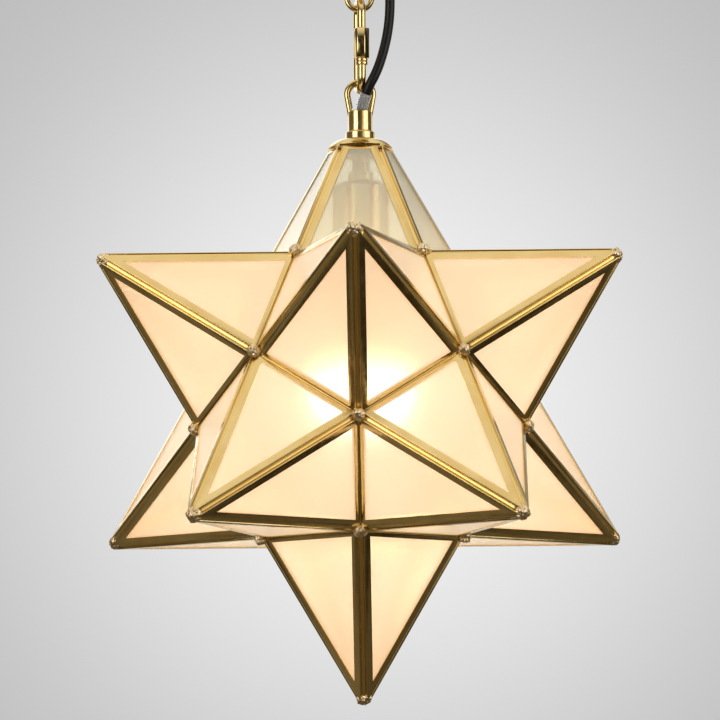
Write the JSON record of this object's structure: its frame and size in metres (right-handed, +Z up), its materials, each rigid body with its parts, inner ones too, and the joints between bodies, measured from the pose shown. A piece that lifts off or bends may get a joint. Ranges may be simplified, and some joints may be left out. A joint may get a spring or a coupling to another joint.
{
  "type": "star pendant light",
  "caption": "Star-shaped pendant light of brass-framed frosted glass points with a hinged point for the bulb, hung by a quick link and a short chain under a ceiling canopy.",
  "frame": {"origin": "in the ceiling plane, midway between the bracket's two slots, above the star's centre", "axes": "+Z up into the ceiling, -Y towards the pictured front of the star, +X to the right of it"},
  "size_m": [0.3058, 0.3202, 0.5269],
  "materials": {
    "polished_brass": "polished",
    "plated_solder": "polished",
    "contact_brass": "satin",
    "frosted_glass": "frosted",
    "bulb_glass": "pearl",
    "bulb_cap_metal": "bright",
    "black_plastic": "matt",
    "white_plastic": "gloss",
    "zinc_steel": "zinc plated",
    "black_flex": "matt",
    "clear_tube": "clear"
  },
  "bodies": {
    "ceiling_mount": {"ceiling_bracket": "zinc_steel", "canopy": "polished_brass", "canopy_collar": "polished_brass", "canopy_loop": "polished_brass", "canopy_nipple": "polished_brass", "bracket_nut": "polished_brass", "terminal_block": "white_plastic", "ceiling_flex": "black_flex", "flex_cord": "black_flex"},
    "upper_link": {"chain_link_upper": "polished_brass"},
    "lower_link": {"chain_link_lower": "polished_brass"},
    "quick_link": {"quick_link": "polished_brass"},
    "sleeve": {"quick_link_sleeve": "polished_brass"},
    "star": {"came_top": "polished_brass", "glass_top": "frosted_glass", "came_upper_front": "polished_brass", "glass_upper_front": "frosted_glass", "came_upper_right": "polished_brass", "glass_upper_right": "frosted_glass", "came_upper_rear_left": "polished_brass", "glass_upper_rear_left": "frosted_glass", "came_upper_left": "polished_brass", "glass_upper_left": "frosted_glass", "came_lower_front_right": "polished_brass", "glass_lower_front_right": "frosted_glass", "came_lower_right": "polished_brass", "glass_lower_right": "frosted_glass", "came_lower_rear": "polished_brass", "glass_lower_rear": "frosted_glass", "came_lower_left": "polished_brass", "glass_lower_left": "frosted_glass", "came_lower_front_left": "polished_brass", "glass_lower_front_left": "frosted_glass", "came_bottom": "polished_brass", "glass_bottom": "frosted_glass", "solder_star": "plated_solder", "hinge_knuckles_fixed": "polished_brass", "hinge_pin": "polished_brass", "top_plate": "polished_brass", "cap_dome": "polished_brass", "loop_collar": "polished_brass", "star_loop": "polished_brass", "cap_nut": "polished_brass", "star_nipple": "polished_brass", "holder_cap": "polished_brass", "holder_shell": "polished_brass", "holder_core": "black_plastic", "screw_shell": "contact_brass", "centre_contact": "contact_brass", "lamp_flex": "black_flex", "clear_sleeve": "clear_tube"},
    "door": {"came_door": "polished_brass", "glass_door": "frosted_glass", "solder_door": "plated_solder", "hinge_knuckle_door": "polished_brass"},
    "bulb": {"bulb_cap": "bulb_cap_metal", "bulb_contact": "contact_brass", "bulb_globe": "bulb_glass"}
  },
  "joints": [
    {"name": "upper_link_swing", "type": "hinge", "parent": "ceiling_mount", "child": "upper_link", "pos_m": [0, 0, -0.0601], "axis": [1, 0, 0], "range_deg": [-20, 20], "deforming": ["flex_cord"]},
    {"name": "lower_link_swing", "type": "hinge", "parent": "upper_link", "child": "lower_link", "pos_m": [0, 0, -0.0867], "axis": [0, 1, 0], "range_deg": [-20, 20], "deforming": ["flex_cord"]},
    {"name": "quick_link_swing", "type": "hinge", "parent": "lower_link", "child": "quick_link", "pos_m": [0, 0, -0.1136], "axis": [1, 0, 0], "range_deg": [-20, 20], "deforming": ["flex_cord"]},
    {"name": "star_swing", "type": "hinge", "parent": "quick_link", "child": "star", "pos_m": [0, 0, -0.1621], "axis": [0.1736, -0.9848, 0], "range_deg": [-20, 20], "deforming": ["flex_cord", "clear_sleeve"]},
    {"name": "sleeve_travel", "type": "slide", "parent": "quick_link", "child": "sleeve", "axis": [0, 0, 1], "range_m": [0, 0.0065]},
    {"name": "door_swing", "type": "hinge", "parent": "star", "child": "door", "pos_m": [0.03053, 0.04202, -0.26436], "axis": [0.809, -0.5878, 0], "range_deg": [0, 95]},
    {"name": "bulb_travel", "type": "slide", "parent": "star", "child": "bulb", "axis": [0, 0, -1], "range_m": [0, 0.024]}
  ]
}
